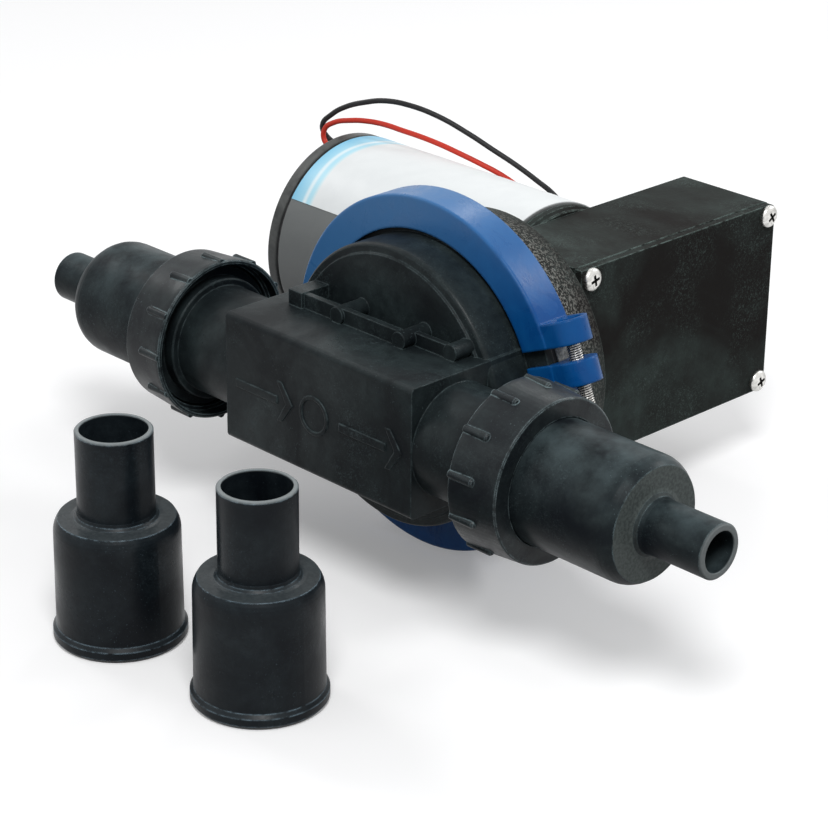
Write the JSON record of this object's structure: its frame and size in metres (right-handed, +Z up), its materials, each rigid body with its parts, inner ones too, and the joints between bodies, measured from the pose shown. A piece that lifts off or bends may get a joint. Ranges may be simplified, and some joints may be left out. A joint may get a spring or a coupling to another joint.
{
  "type": "diaphragm pump",
  "caption": "Belt-driven diaphragm waste pump with a ribbed union nut and hose tail at each port, a blue clamp ring, a side motor with bare leads, and loose larger hose tails.",
  "frame": {"origin": "middle of the four mounting holes, on the surface the pump stands on", "axes": "+X along the ports in the direction of flow, +Y from the pump head back to the drive box, +Z up"},
  "size_m": [0.3288, 0.3023, 0.1345],
  "materials": {
    "black_plastic": "fine moulded texture",
    "nut_plastic": "satin",
    "ring_blue": "satin powder coat",
    "zinc_steel": "bright zinc plate",
    "black_rubber": "matt",
    "cast_aluminium": "as cast",
    "bearing_steel": "ground",
    "pulley_plastic": "satin",
    "motor_paint": "satin",
    "label_film": "semi-gloss film",
    "magnet": "matt",
    "core_steel": "laminated",
    "copper": "enamelled wire",
    "carbon": "matt",
    "red_pvc": "semi-gloss",
    "black_pvc": "semi-gloss",
    "saddle_paint": "satin"
  },
  "bodies": {
    "pump": {"pump_head": "black_plastic", "clamp_ring": "ring_blue", "clamp_screw": "zinc_steel", "diaphragm": "black_rubber", "drive_bearings": "bearing_steel", "crank_belt": "black_rubber", "motor_belt": "black_rubber", "drive_housing": "black_plastic", "housing_cover": "black_plastic", "cover_screws": "zinc_steel", "inlet_valve": "black_rubber", "outlet_valve": "black_rubber", "inlet_tail": "black_plastic", "outlet_tail": "black_plastic", "motor_can": "motor_paint", "rating_label": "label_film", "motor_end_cap": "motor_paint", "cap_seal": "black_rubber", "motor_flange": "black_plastic", "flange_screws": "zinc_steel", "through_bolts": "zinc_steel", "magnets": "magnet", "brushes": "carbon", "motor_bearings": "bearing_steel", "lead_grommet": "black_rubber", "red_lead": "red_pvc", "black_lead": "black_pvc", "mounting_saddle": "saddle_paint", "saddle_screws": "zinc_steel", "rubber_mounts": "black_rubber"},
    "rotor": {"motor_shaft": "bearing_steel", "armature_core": "core_steel", "windings": "copper", "commutator": "copper", "motor_pulley": "bearing_steel"},
    "jackshaft": {"jackshaft": "bearing_steel", "jackshaft_pulley": "pulley_plastic"},
    "crank": {"crankshaft": "bearing_steel", "crank_pulley": "pulley_plastic"},
    "rod": {"connecting_rod": "cast_aluminium", "rod_bearing": "bearing_steel", "rear_plate": "cast_aluminium", "front_plate": "zinc_steel", "diaphragm_screw": "zinc_steel"},
    "inlet_nut": {"inlet_nut": "nut_plastic"},
    "outlet_nut": {"outlet_nut": "nut_plastic"},
    "spare_tail_left": {"spare_tail_left": "black_plastic"},
    "spare_tail_right": {"spare_tail_right": "black_plastic"}
  },
  "joints": [
    {"name": "motor_spin", "type": "hinge", "parent": "pump", "child": "rotor", "pos_m": [0.066, 0, 0.068], "axis": [1, 0, 0], "continuous": true},
    {"name": "jackshaft_spin", "type": "hinge", "parent": "pump", "child": "jackshaft", "pos_m": [0.066, 0.0374, 0.068], "axis": [1, 0, 0], "continuous": true},
    {"name": "crank_spin", "type": "hinge", "parent": "pump", "child": "crank", "pos_m": [0.066, -0.0286, 0.068], "axis": [1, 0, 0], "continuous": true, "deforming": ["diaphragm"]},
    {"name": "rod_swing", "type": "hinge", "parent": "crank", "child": "rod", "pos_m": [0.066, -0.0326, 0.068], "axis": [1, 0, 0], "continuous": true, "deforming": ["diaphragm"]},
    {"name": "inlet_nut_turn", "type": "hinge", "parent": "pump", "child": "inlet_nut", "pos_m": [0.066, -0.1128, 0.068], "axis": [1, 0, 0], "continuous": true},
    {"name": "outlet_nut_turn", "type": "hinge", "parent": "pump", "child": "outlet_nut", "pos_m": [0.066, -0.1128, 0.068], "axis": [1, 0, 0], "continuous": true},
    {"name": "left_tail_lift", "type": "slide", "parent": "pump", "child": "spare_tail_left", "axis": [0, 0, 1], "range_m": [0, 0.12]},
    {"name": "right_tail_lift", "type": "slide", "parent": "pump", "child": "spare_tail_right", "axis": [0, 0, 1], "range_m": [0, 0.12]}
  ],
  "couplings": [
    {"joint": "jackshaft_spin", "follows": "motor_spin", "ratio": 0.27711},
    {"joint": "crank_spin", "follows": "motor_spin", "ratio": 0.094723},
    {"joint": "rod_swing", "follows": "motor_spin", "ratio": -0.094723}
  ]
}
